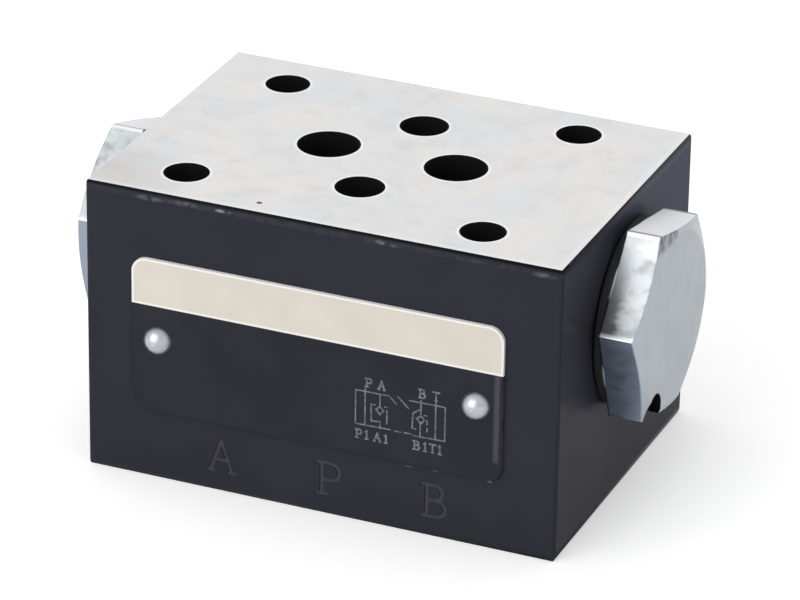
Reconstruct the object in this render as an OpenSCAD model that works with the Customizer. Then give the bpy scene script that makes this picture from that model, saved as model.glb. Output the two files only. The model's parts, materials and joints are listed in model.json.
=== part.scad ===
// Hydraulic sandwich plate valve, size 6: a double pilot operated check valve.
// Frame: X runs along the valve axis from end A to end B, Z points up, and the
// origin is the centre of the hole pattern on the base face. Units are millimetres.

/* [Body] */
// Length of the body along the valve axis
body_length = 64.3; // [62.3:0.1:72]
// Width of the body from front to back
body_width = 45.6; // [44:0.1:52]
// Height of the body between its two ground faces
body_height = 40; // [38:0.5:48]
// Radius of the four upright edges
upright_edge_r = 0.6; // [0.4:0.1:2]
// Radius of the edges round the two ground faces, before they were ground
face_edge_r = 2.5; // [1.6:0.1:3]
// Height of the round that grinding leaves below each ground face
face_edge_rise = 1.2; // [0.6:0.1:1.5]
// Height of the valve axis above the base face
axis_height = 25; // [23:0.5:26]

/* [Hole pattern] */
// Diameter of the four through holes for the stack bolts
bolt_hole_d = 5.5; // [5.3:0.1:6]
// Distance from the centre to the pair of bolt holes at end A
bolts_a_x = 21.5; // [21:0.1:22]
// Distance between the two bolt holes at end A
bolts_a_pitch = 31; // [30.5:0.1:32]
// Distance from the centre to the pair of bolt holes at end B
bolts_b_x = 19; // [18.5:0.1:20]
// Distance between the two bolt holes at end B
bolts_b_pitch = 32.5; // [32:0.1:33.5]
// Diameter of the pressure and tank ports, which run straight through
through_port_d = 6; // [5:0.1:6.4]
// Distance from the centre to the pressure port and to the tank port
through_port_y = 10.4; // [10.2:0.1:11]
// Diameter of the working ports A and B
working_port_d = 7.8; // [7:0.1:8]
// Distance from the centre to working port A
port_a_x = 8.8; // [8.5:0.1:9]
// Distance from the centre to working port B
port_b_x = 8.7; // [8.5:0.1:9]
// Depth of the working ports in the base face, before the slanted drilling
base_port_depth = 6.5; // [6:0.1:8]
// Diameter of the slanted drilling from a base port to the poppet chamber
cross_drill_d = 5; // [4:0.1:5.4]
// Distance by which that drilling reaches into the poppet chamber
drill_lead = 1; // [0.8:0.1:1.4]
// Size of the broken edge at the mouth of each hole
mouth_break = 0.2; // [0.1:0.05:0.3]
// Diameter of a pit left in the ground top face
pit_d = 0.6; // [0.4:0.1:1]
// Distance from the centre to that pit, towards end A
pit_x = 9.4; // [8:0.1:11]
// Distance from the centre to that pit, towards the front
pit_y = 20; // [19:0.1:21]

/* [Base seals] */
// Diameter of the seal recesses in the base face
base_recess_d = 12.6; // [12.2:0.1:13]
// Depth of the seal recesses
base_recess_depth = 1.4; // [1.2:0.1:1.6]
// Radial width of a seated base seal
base_seal_width = 1.8; // [1.5:0.1:2]

/* [Control spool] */
// Diameter of the spool bore through the middle of the body
spool_bore_d = 11; // [10:0.1:11.6]
// Length of the spool land between the two working ports
spool_land_length = 10; // [9:0.1:11]
// Diameter of the spool noses that push the poppets open
spool_nose_d = 4; // [3.6:0.1:4.4]
// Free travel of the centred spool to either closed poppet
spool_float = 1.2; // [0.8:0.1:1.6]
// Number of pressure balancing grooves in the land
spool_grooves = 3; // [2:1:4]

/* [Seat bush] */
// Distance from the middle to the shoulder that the seat bush rests on
bush_shoulder_x = 12.8; // [12.4:0.1:13.4]
// Diameter of the seat bush bore in the body
bush_bore_d = 16; // [15.4:0.1:16.6]
// Thickness of the wall that holds the seat
seat_wall = 3.5; // [3.4:0.1:4.2]
// Diameter of the seat
seat_d = 6.4; // [6:0.1:6.8]
// Length of the open cage between the seat and the plug
cage_length = 5.1; // [4.8:0.1:5.6]
// Wall of the cage
cage_wall = 2; // [1.6:0.1:2.2]
// Diameter of the round windows in the cage
window_d = 3.4; // [2.8:0.1:3.8]
// Number of windows in the cage
window_count = 6; // [4:1:6]
// Distance from the seat to the start of the wide poppet chamber
chamber_lead = 0.6; // [0.4:0.1:1]
// Thickness of the seal on the bush
bush_seal_section = 1.2; // [1:0.05:1.3]
// Thickness of the support ring beside that seal
support_ring_thickness = 0.6; // [0.5:0.05:0.7]

/* [Poppet] */
// Diameter of the poppet skirt
poppet_d = 9; // [8.6:0.1:9.4]
// Length of the poppet from its tip to the end of its skirt
poppet_length = 11.8; // [11.2:0.1:12.6]
// Lift of the poppet from its seat
poppet_lift = 2.4; // [1.6:0.1:2.8]
// Depth by which the poppet tip stands inside the seat
poppet_entry = 0.7; // [0.5:0.05:0.9]
// Wall of the hollow skirt
poppet_wall = 1.4; // [1.2:0.05:1.6]
// Solid length of the head, in front of the spring
poppet_head = 4.2; // [3.6:0.1:4.6]
// Diameter of the bleed holes through the skirt
bleed_d = 1.4; // [1:0.1:1.5]
// Wire diameter of the poppet spring
spring_wire = 0.8; // [0.6:0.05:0.9]
// Number of turns of the poppet spring, with a closed turn at each end
spring_turns = 7; // [6:0.5:8]
// Gap between the closed end turns of the poppet spring
closed_turn_gap = 0.08; // [0.05:0.01:0.12]

/* [End plugs] */
// Diameter of the threaded shank, drawn plain
thread_d = 20; // [19.4:0.1:20.6]
// Length of the plain nose in front of the thread
plug_nose_length = 2; // [1.5:0.1:2.5]
// Width of the hexagon across its flats
hex_across_flats = 24; // [23:0.5:27]
// Height of the hexagon
hex_height = 5.1; // [4:0.1:8]
// Rise of the hexagon's face chamfer from the flats to the face
hex_chamfer = 0.7; // [0.4:0.1:1]
// Diameter of the flat outer face of the hexagon
hex_face_d = 22.6; // [21.6:0.1:22.8]
// Thickness of the round collar behind the hexagon
collar_thickness = 1.4; // [1:0.1:2]
// Width of the collar's seat on the body outside the seal recess
collar_seat = 0.95; // [0.8:0.05:1.6]
// Thickness of the seal under the collar
plug_seal_section = 2.1; // [1.8:0.1:2.4]
// Depth of the neck below the thread diameter, where the seal sits
neck_depth = 0.9; // [0.6:0.1:1.2]
// Turn of the hexagon at end A, from a corner straight up, towards the front
hex_turn_a = 12; // [0:0.5:59]
// Turn of the hexagon at end B, from a corner straight up, towards the front
hex_turn_b = 19.6; // [0:0.1:59]
// Radius of the half-round nick in the rim of plug B
nick_r = 2.4; // [1.5:0.1:2.8]
// Depth of that nick
nick_depth = 1.5; // [0.6:0.1:2]
// Distance from the axis to the middle of that nick
nick_reach = 12; // [11:0.1:12.6]
// Angle of the nick round the axis, from the front down
nick_angle = 59; // [0:1:359]

/* [Name plate] */
// Width of the name plate
plate_width = 50.4; // [46:0.1:54]
// Height of the name plate
plate_height = 21.1; // [18:0.1:24]
// Thickness of the name plate
plate_thickness = 0.5; // [0.4:0.1:1]
// Radius of the plate's corners
plate_corner_r = 2; // [1:0.1:3]
// Distance from the centre to the middle of the plate, towards end A
plate_offset = 0.3; // [0:0.1:1]
// Height of the middle of the plate above the base face
plate_mid_height = 20.4; // [18:0.1:24]
// Distance between the two plate pins
pin_pitch = 43.3; // [38:0.1:44]
// Distance of the pins below the middle of the plate
pin_drop = 0.6; // [0:0.1:3]
// Diameter of the domed pin heads
pin_head_d = 3.8; // [3:0.1:4.2]
// Height of the domed pin heads
pin_head_height = 1.4; // [0.7:0.1:1.4]
// Diameter of the pin shanks
pin_shank_d = 2; // [1.6:0.1:2.2]
// Length of the pin shanks
pin_shank_length = 3.6; // [3:0.1:3.8]

/* [Fits] */
// Radial clearance of the pieces that slide
slide_clearance = 0.03; // [0.02:0.01:0.05]
// Radial clearance of the pieces that are fixed in place
seat_clearance = 0.05; // [0.03:0.01:0.08]
// Gap left between a closed poppet and its seat, and at every end stop
stop_clearance = 0.05; // [0.03:0.01:0.08]
// Radial clearance of the thread, drawn plain
thread_clearance = 0.1; // [0.05:0.01:0.15]

/* [Hidden] */
$fn = 64;
// Overlap by which a cutting shape passes the face that it cuts
over = 1;
// Small chamfer that breaks the edges of the turned pieces
turned_break = 0.3;

end_a = -1;
end_b = 1;
half_length = body_length / 2;
front_y = -body_width / 2;

// Places of the holes on the two ground faces
bolt_places = [
    for (side = [-1, 1]) [-bolts_a_x, side * bolts_a_pitch / 2],
    for (side = [-1, 1]) [bolts_b_x, side * bolts_b_pitch / 2],
];
port_p_place = [0, through_port_y];
port_t_place = [0, -through_port_y];
port_a_place = [-port_a_x, 0];
port_b_place = [port_b_x, 0];
pit_place = [-pit_x, -pit_y];

// Distances from the middle along the valve axis, the same at both ends
seat_x = bush_shoulder_x + seat_wall;
bush_end_x = seat_x + cage_length;
chamber_x = seat_x + chamber_lead;
poppet_tip_x = seat_x - poppet_entry + stop_clearance;
poppet_end_x = poppet_tip_x + poppet_length;
spring_start_x = poppet_tip_x + poppet_head;
plug_bore_end_x = poppet_end_x + poppet_lift + stop_clearance;
nose_end_x = poppet_tip_x - spool_float - stop_clearance;

// Depth of the blind holes for the plate pins, with a little room below the pins
pin_hole_depth = pin_shank_length - plate_thickness + turned_break;

// Diameters worked out from the fits
bush_d = bush_bore_d - 2 * seat_clearance;
cage_bore_d = bush_d - 2 * cage_wall;
poppet_tip_d = seat_d - 2 * poppet_entry;
poppet_bore_d = poppet_d - 2 * poppet_wall;
guide_d = poppet_d + 2 * slide_clearance;
spool_d = spool_bore_d - 2 * slide_clearance;
shank_d = thread_d - 2 * thread_clearance;
neck_d = shank_d - 2 * neck_depth;
plug_nose_d = bush_d;
plug_recess_d = neck_d + 2 * plug_seal_section + 4 * seat_clearance;
plug_recess_depth = plug_seal_section + 2 * seat_clearance;
collar_d = plug_recess_d + 2 * collar_seat;
bush_groove_d = bush_bore_d - 2 * bush_seal_section - 4 * seat_clearance;
bush_groove_width = bush_seal_section + support_ring_thickness + 3 * seat_clearance;
bush_groove_x = bush_shoulder_x + (seat_wall - bush_groove_width) / 2;

// Turns a shape that was drawn along Z to run outwards along the valve axis
module along_axis(side) {
    translate([0, 0, axis_height])
        rotate([0, 90 * side, 0])
            children();
}

// Rectangle about the origin with round corners
module round_rectangle(size, r) {
    square([size.x - 2 * r, size.y], center = true);
    square([size.x, size.y - 2 * r], center = true);
    for (x = [-1, 1], y = [-1, 1])
        translate([x * (size.x / 2 - r), y * (size.y / 2 - r)])
            circle(r);
}

// Ring with a round section, lying flat
module round_ring(mean_r, section_d) {
    rotate_extrude()
        translate([mean_r, 0])
            circle(d = section_d);
}

// Ring with a square section, standing on the XY plane
module square_ring(inner_d, outer_d, height) {
    rotate_extrude()
        translate([inner_d / 2, 0])
            square([(outer_d - inner_d) / 2, height]);
}

// Cutter for a hole from one height to another, with a broken edge at its upper mouth
module hole_from(low, high, d) {
    rotate_extrude()
        polygon([
            [0, low], [d / 2, low], [d / 2, high - mouth_break],
            [d / 2 + mouth_break + over, high + over], [0, high + over],
        ]);
}

// Cutter for a hole right through the body, with both mouths broken
module hole_through(d) {
    rotate_extrude()
        polygon([
            [0, -over], [d / 2 + mouth_break + over, -over], [d / 2, mouth_break],
            [d / 2, body_height - mouth_break],
            [d / 2 + mouth_break + over, body_height + over], [0, body_height + over],
        ]);
}

// Block with round upright edges, and with larger rounds that both ground faces cut short
module body_block() {
    rough_height = body_height + 2 * (face_edge_r - face_edge_rise);
    intersection() {
        linear_extrude(body_height)
            round_rectangle([body_length, body_width], upright_edge_r);
        translate([0, 0, body_height / 2])
            rotate([90, 0, 90])
                linear_extrude(body_length + 2 * over, center = true)
                    round_rectangle([body_width, rough_height], face_edge_r);
        translate([0, 0, body_height / 2])
            rotate([90, 0, 0])
                linear_extrude(body_width + 2 * over, center = true)
                    round_rectangle([body_length, rough_height], face_edge_r);
    }
}

// Stepped bore from the middle of the body to one end
module valve_bore() {
    cylinder(d = spool_bore_d, h = bush_shoulder_x + over);
    translate([0, 0, bush_shoulder_x])
        cylinder(d = bush_bore_d, h = half_length - bush_shoulder_x + over);
    translate([0, 0, chamber_x])
        cylinder(d = thread_d, h = half_length - chamber_x + over);
    translate([0, 0, half_length - plug_recess_depth])
        cylinder(d = plug_recess_d, h = plug_recess_depth + over);
}

// Working port: down from the top face to the spool bore, and up from the base
// face and a slanted drilling to the poppet chamber
module working_port(side, port_x) {
    start = [side * port_x, 0, base_port_depth / 2];
    goal_x = side * (chamber_x + drill_lead + cross_drill_d / 2);
    goal = [goal_x, 0, axis_height - thread_d / 2 + drill_lead];
    run = goal - start;
    lean = atan2(run.x, run.z);
    translate([side * port_x, 0, 0]) {
        hole_from(axis_height, body_height, working_port_d);
        translate([0, 0, -over])
            cylinder(d = working_port_d, h = base_port_depth + over);
    }
    translate(start)
        rotate([0, lean, 0])
            cylinder(d = cross_drill_d, h = norm(run) + drill_lead);
}

module base_recess(place) {
    translate([place.x, place.y, -over])
        cylinder(d = base_recess_d, h = base_recess_depth + over);
}

module at_pins() {
    for (side = [-1, 1])
        translate([side * pin_pitch / 2 - plate_offset, front_y, plate_mid_height - pin_drop])
            rotate([90, 0, 0])
                children();
}

module valve_body() {
    color([0.20, 0.20, 0.23])
        difference() {
            body_block();
            for (side = [end_a, end_b])
                along_axis(side) valve_bore();
            for (place = bolt_places)
                translate(place) hole_through(bolt_hole_d);
            for (place = [port_p_place, port_t_place])
                translate(place) hole_through(through_port_d);
            working_port(end_a, port_a_x);
            working_port(end_b, port_b_x);
            for (place = [port_p_place, port_t_place, port_a_place, port_b_place])
                base_recess(place);
            at_pins()
                translate([0, 0, -pin_hole_depth])
                    cylinder(d = pin_shank_d + 2 * seat_clearance, h = pin_hole_depth + over);
            translate([pit_place.x, pit_place.y, body_height])
                sphere(d = pit_d);
        }
}

module name_plate() {
    color([0.88, 0.85, 0.81])
        difference() {
            translate([-plate_offset, front_y, plate_mid_height])
                rotate([90, 0, 0])
                    linear_extrude(plate_thickness)
                        round_rectangle([plate_width, plate_height], plate_corner_r);
            at_pins()
                translate([0, 0, -over])
                    cylinder(d = pin_shank_d + 4 * seat_clearance, h = plate_thickness + 2 * over);
        }
}

// Drive pins with a low domed head, which rivet the plate to the body
module name_plate_pins() {
    dome_r = (pow(pin_head_height, 2) + pow(pin_head_d / 2, 2)) / (2 * pin_head_height);
    color([0.86, 0.86, 0.88])
        at_pins() {
            translate([0, 0, plate_thickness])
                intersection() {
                    translate([0, 0, pin_head_height - dome_r])
                        sphere(dome_r);
                    cylinder(d = pin_head_d + over, h = pin_head_height + over);
                }
            translate([0, 0, plate_thickness - pin_shank_length])
                cylinder(d = pin_shank_d, h = pin_shank_length + pin_head_height / 2);
        }
}

// Turned plug: nose, shank, neck and collar, with the poppet's guide bore inside
module plug_turning() {
    shank_start = bush_end_x + plug_nose_length;
    neck_start = half_length - plug_recess_depth;
    lead = shank_d / 2 - plug_nose_d / 2;
    rotate_extrude()
        polygon([
            [guide_d / 2 + turned_break, bush_end_x],
            [plug_nose_d / 2, bush_end_x],
            [plug_nose_d / 2, shank_start],
            [shank_d / 2, shank_start + lead],
            [shank_d / 2, neck_start],
            [neck_d / 2, neck_start],
            [neck_d / 2, half_length],
            [collar_d / 2 - turned_break, half_length],
            [collar_d / 2, half_length + turned_break],
            [collar_d / 2, half_length + collar_thickness],
            [0, half_length + collar_thickness],
            [0, plug_bore_end_x],
            [guide_d / 2, plug_bore_end_x],
            [guide_d / 2, bush_end_x + turned_break],
        ]);
}

// Hexagon with its outer corners turned down to a flat round face
module plug_hexagon(turn) {
    corner_r = hex_across_flats / 2 / cos(30);
    slope = hex_chamfer / (corner_r - hex_face_d / 2);
    translate([0, 0, half_length + collar_thickness])
        intersection() {
            rotate([0, 0, turn])
                cylinder(r = corner_r, h = hex_height, $fn = 6);
            rotate_extrude()
                polygon([
                    [0, -over],
                    [corner_r + over, -over],
                    [corner_r + over, hex_height - hex_chamfer - slope * over],
                    [hex_face_d / 2, hex_height],
                    [0, hex_height],
                ]);
        }
}

module end_plug(side, turn) {
    along_axis(side) {
        plug_turning();
        plug_hexagon(side * turn);
    }
}

module plug_a() {
    color([0.72, 0.75, 0.78])
        end_plug(end_a, hex_turn_a);
}

module plug_b() {
    color([0.72, 0.75, 0.78])
        difference() {
            end_plug(end_b, hex_turn_b);
            along_axis(end_b)
                rotate([0, 0, nick_angle])
                    translate([0, -nick_reach, half_length + collar_thickness + hex_height - nick_depth])
                        cylinder(r = nick_r, h = nick_depth + over);
        }
}

module plug_seal(side) {
    color([0.09, 0.09, 0.10])
        along_axis(side)
            translate([0, 0, half_length - plug_recess_depth / 2])
                round_ring((neck_d + plug_recess_d) / 4, plug_seal_section);
}

// Bush with the poppet's seat at its inner end and an open cage at its outer end
module seat_bush(side) {
    color([0.60, 0.61, 0.63])
        along_axis(side)
            difference() {
                rotate_extrude()
                    polygon([
                        [seat_d / 2, bush_shoulder_x],
                        [bush_d / 2 - turned_break, bush_shoulder_x],
                        [bush_d / 2, bush_shoulder_x + turned_break],
                        [bush_d / 2, bush_groove_x],
                        [bush_groove_d / 2, bush_groove_x],
                        [bush_groove_d / 2, bush_groove_x + bush_groove_width],
                        [bush_d / 2, bush_groove_x + bush_groove_width],
                        [bush_d / 2, bush_end_x],
                        [cage_bore_d / 2, bush_end_x],
                        [cage_bore_d / 2, seat_x],
                        [seat_d / 2, seat_x],
                    ]);
                for (k = [0:window_count - 1])
                    rotate([0, 0, k * 360 / window_count])
                        translate([0, 0, seat_x + cage_length / 2])
                            rotate([0, 90, 0])
                                cylinder(d = window_d, h = bush_d);
            }
}

module bush_seal(side) {
    ring_x = bush_groove_x + bush_groove_width - seat_clearance - bush_seal_section / 2;
    color([0.09, 0.09, 0.10])
        along_axis(side)
            translate([0, 0, ring_x])
                round_ring((bush_groove_d + bush_bore_d) / 4, bush_seal_section);
}

module support_ring(side) {
    color([0.93, 0.92, 0.88])
        along_axis(side)
            translate([0, 0, bush_groove_x + seat_clearance])
                square_ring(
                    bush_groove_d + 2 * seat_clearance,
                    bush_bore_d - 2 * seat_clearance,
                    support_ring_thickness
                );
}

// Hollow poppet with a seating cone and a skirt that slides in the plug
module poppet(side) {
    cone_rise = (poppet_d - poppet_tip_d) / 2;
    color([0.66, 0.67, 0.69])
        along_axis(side)
            difference() {
                rotate_extrude()
                    polygon([
                        [0, poppet_tip_x],
                        [poppet_tip_d / 2, poppet_tip_x],
                        [poppet_d / 2, poppet_tip_x + cone_rise],
                        [poppet_d / 2, poppet_end_x - turned_break],
                        [poppet_d / 2 - turned_break, poppet_end_x],
                        [poppet_bore_d / 2, poppet_end_x],
                        [poppet_bore_d / 2, spring_start_x],
                        [0, spring_start_x],
                    ]);
                for (turn = [0, 90])
                    translate([0, 0, spring_start_x + bleed_d / 2])
                        rotate([0, 90, turn])
                            cylinder(d = bleed_d, h = poppet_d + over, center = true);
            }
}

// Wire swept round a helix, with one closed turn at each end
module poppet_spring(side) {
    sides = 8;
    steps = 20;
    count = floor(spring_turns * steps);
    coil_r = poppet_bore_d / 2 - 2 * seat_clearance - spring_wire / 2;
    low = spring_start_x + stop_clearance + spring_wire / 2;
    high = plug_bore_end_x - stop_clearance - spring_wire / 2;
    closed_rise = spring_wire + closed_turn_gap;
    open_rise = (high - low - 2 * closed_rise) / (spring_turns - 2);
    function rise(turn) =
        turn < 1 ? turn * closed_rise
        : turn < spring_turns - 1 ? closed_rise + (turn - 1) * open_rise
        : high - low - (spring_turns - turn) * closed_rise;
    function wire_point(step, k) =
        let (
            turn = step * spring_turns / count,
            around = k * 360 / sides,
            r = coil_r + spring_wire / 2 * cos(around)
        )
        [r * cos(turn * 360), r * sin(turn * 360), low + rise(turn) + spring_wire / 2 * sin(around)];
    points = [for (step = [0:count], k = [0:sides - 1]) wire_point(step, k)];
    walls = [
        for (step = [0:count - 1], k = [0:sides - 1])
            let (next = (k + 1) % sides, base = step * sides)
                [base + k, base + sides + k, base + sides + next, base + next],
    ];
    first_cap = [for (k = [0:sides - 1]) k];
    last_cap = [for (k = [sides - 1:-1:0]) count * sides + k];
    color([0.55, 0.56, 0.58])
        along_axis(side)
            polyhedron(points, concat([first_cap], walls, [last_cap]));
}

// Free piston between the two seats: one land with balancing grooves and two noses
module control_spool() {
    groove_width = 0.5;
    groove_depth = 0.4;
    half_land = spool_land_length / 2;
    groove_step = spool_land_length / (spool_grooves + 1);
    shoulder_d = (spool_d + spool_nose_d) / 2;
    shoulder_end = half_land + spool_nose_d / 4;
    color([0.66, 0.67, 0.69])
        along_axis(end_b)
            difference() {
                union() {
                    for (side = [end_a, end_b])
                        rotate([0, 90 - 90 * side, 0])
                            rotate_extrude()
                                polygon([
                                    [0, 0],
                                    [spool_d / 2, 0],
                                    [spool_d / 2, half_land - turned_break],
                                    [spool_d / 2 - turned_break, half_land],
                                    [shoulder_d / 2, half_land],
                                    [spool_nose_d / 2, shoulder_end],
                                    [spool_nose_d / 2, nose_end_x - turned_break],
                                    [spool_nose_d / 2 - turned_break, nose_end_x],
                                    [0, nose_end_x],
                                ]);
                }
                for (k = [1:spool_grooves])
                    translate([0, 0, k * groove_step - half_land - groove_width / 2])
                        square_ring(spool_d - 2 * groove_depth, spool_d + over, groove_width);
            }
}

// Ring of the base face, drawn as it lies when it is bolted down flush
module port_seal(place) {
    height = base_recess_depth - 2 * seat_clearance;
    mean_r = base_recess_d / 2 - seat_clearance - base_seal_width / 2;
    flat = base_seal_width - height;
    color([0.09, 0.09, 0.10])
        translate([place.x, place.y, base_recess_depth / 2])
            rotate_extrude()
                translate([mean_r, 0]) {
                    square([flat, height], center = true);
                    for (side = [-1, 1])
                        translate([side * flat / 2, 0])
                            circle(d = height);
                }
}

valve_body();
name_plate();
name_plate_pins();
plug_a();
plug_b();
plug_seal(end_a);  // plug_seal_a
plug_seal(end_b);  // plug_seal_b
seat_bush(end_a);  // seat_bush_a
seat_bush(end_b);  // seat_bush_b
bush_seal(end_a);  // bush_seal_a
bush_seal(end_b);  // bush_seal_b
support_ring(end_a);  // support_ring_a
support_ring(end_b);  // support_ring_b
poppet(end_a);  // poppet_a
poppet(end_b);  // poppet_b
poppet_spring(end_a);  // poppet_spring_a
poppet_spring(end_b);  // poppet_spring_b
control_spool();
port_seal(port_p_place);  // port_seal_p
port_seal(port_t_place);  // port_seal_t
port_seal(port_a_place);  // port_seal_a
port_seal(port_b_place);  // port_seal_b
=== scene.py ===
"""Finishes, markings and studio of a sandwich plate check valve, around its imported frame."""
import json
import math

import bmesh
import bpy
from bpy.props import FloatProperty, FloatVectorProperty, IntProperty, PointerProperty
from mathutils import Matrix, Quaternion, Vector
from mathutils.geometry import delaunay_2d_cdt


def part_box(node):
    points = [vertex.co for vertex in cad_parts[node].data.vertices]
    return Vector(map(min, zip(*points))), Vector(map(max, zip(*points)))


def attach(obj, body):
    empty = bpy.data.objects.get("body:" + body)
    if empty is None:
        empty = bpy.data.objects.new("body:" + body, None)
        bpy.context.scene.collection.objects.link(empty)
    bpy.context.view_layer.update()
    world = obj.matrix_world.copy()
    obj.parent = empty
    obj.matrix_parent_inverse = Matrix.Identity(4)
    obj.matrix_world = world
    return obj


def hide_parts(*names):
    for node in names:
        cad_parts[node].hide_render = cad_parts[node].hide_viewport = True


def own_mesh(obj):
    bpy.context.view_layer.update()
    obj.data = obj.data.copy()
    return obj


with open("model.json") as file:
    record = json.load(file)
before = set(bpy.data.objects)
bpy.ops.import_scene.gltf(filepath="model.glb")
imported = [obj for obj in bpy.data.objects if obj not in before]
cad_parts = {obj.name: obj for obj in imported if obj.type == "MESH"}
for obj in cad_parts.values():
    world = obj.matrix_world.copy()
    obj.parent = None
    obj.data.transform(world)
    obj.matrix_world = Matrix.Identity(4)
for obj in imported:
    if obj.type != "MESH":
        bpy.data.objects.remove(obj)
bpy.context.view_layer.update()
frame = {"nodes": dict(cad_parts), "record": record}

bl_info = {
    "name": "Sandwich Plate Check Valve",
    "version": (1, 0, 0),
    "blender": (4, 5, 0),
    "location": "View3D > Sidebar > Valve",
    "description": "Finishes, markings and studio of a hydraulic sandwich plate valve",
    "category": "Object",
}

MM = 0.001
BODY_LOW, BODY_HIGH = (Vector(corner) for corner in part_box("valve_body"))
PLATE_LOW, PLATE_HIGH = (Vector(corner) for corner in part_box("name_plate"))
PLUG_OUTER = max(corner[0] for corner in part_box("plug_b"))
SPOOL_LOW, SPOOL_HIGH = (Vector(corner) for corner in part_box("control_spool"))
AXIS_HEIGHT = (SPOOL_LOW.z + SPOOL_HIGH.z) / 2
ENDS = {"a": -1.0, "b": 1.0}
PIT_PLACE = (-9.4 * MM, -20.0 * MM, BODY_HIGH.z)
LAMP_AIM = Vector((0, 0, BODY_HIGH.z / 2))
SENSOR_WIDTH = 36
CLIP_START = 10 * MM
FLOOR_SIDES = 96
FLOOR_PATCH = 400 * MM

# Range over which a cloudy pattern goes from its darker to its lighter patches
CLOUD_LOW = 0.3
CLOUD_HIGH = 0.7

# Roughness of the finishes, from their glossier to their duller patches
COAT_GLOSS = (0.28, 0.33)
WORN_GLOSS = 0.65
GROUND_GLOSS = (0.38, 0.50)
PLATE_GLOSS = (0.30, 0.38)
FLAT_GLOSS = (0.29, 0.36)
FACE_GLOSS = (0.30, 0.38)
PALE_GLOSS = 0.5
COLLAR_NICK_GLOSS = 0.55
STEEL_GLOSS = (0.29, 0.41)
PIN_GLOSS = (0.30, 0.40)
RUBBER_GLOSS = (0.52, 0.66)


def linear(red, green, blue):
    """Turn a colour of 0 to 255 as a screen shows it into linear light."""
    def channel(value):
        share = value / 255
        if share <= 0.04045:
            return share / 12.92
        return ((share + 0.055) / 1.055) ** 2.4
    return (channel(red), channel(green), channel(blue))


def toned(colour, share):
    """Colour made darker, or lighter with a share above one."""
    return tuple(share * part for part in colour)


def colour_property(name, description, colour):
    """Colour setting in linear light."""
    return FloatVectorProperty(
        name=name, description=description, subtype="COLOR", size=3, min=0, max=1, default=colour)


def length_property(name, description, millimetres):
    """Length setting, given in millimetres and kept in metres."""
    return FloatProperty(
        name=name, description=description, unit="LENGTH", precision=5, min=0,
        default=millimetres * MM)


def share_property(name, description, share):
    """Setting between nothing and all."""
    return FloatProperty(
        name=name, description=description, subtype="FACTOR", min=0, max=1, default=share)


def angle_property(name, description, degrees):
    """Angle setting, given in degrees and kept in radians."""
    return FloatProperty(
        name=name, description=description, subtype="ANGLE", default=math.radians(degrees))


def place_property(name, description, place):
    """Place setting, in metres."""
    return FloatVectorProperty(
        name=name, description=description, subtype="TRANSLATION", unit="LENGTH", size=3,
        default=place)


def power_property(name, description, watts):
    """Setting for the power of a lamp, in watts."""
    return FloatProperty(name=name, description=description, unit="POWER", min=0, default=watts)


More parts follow.
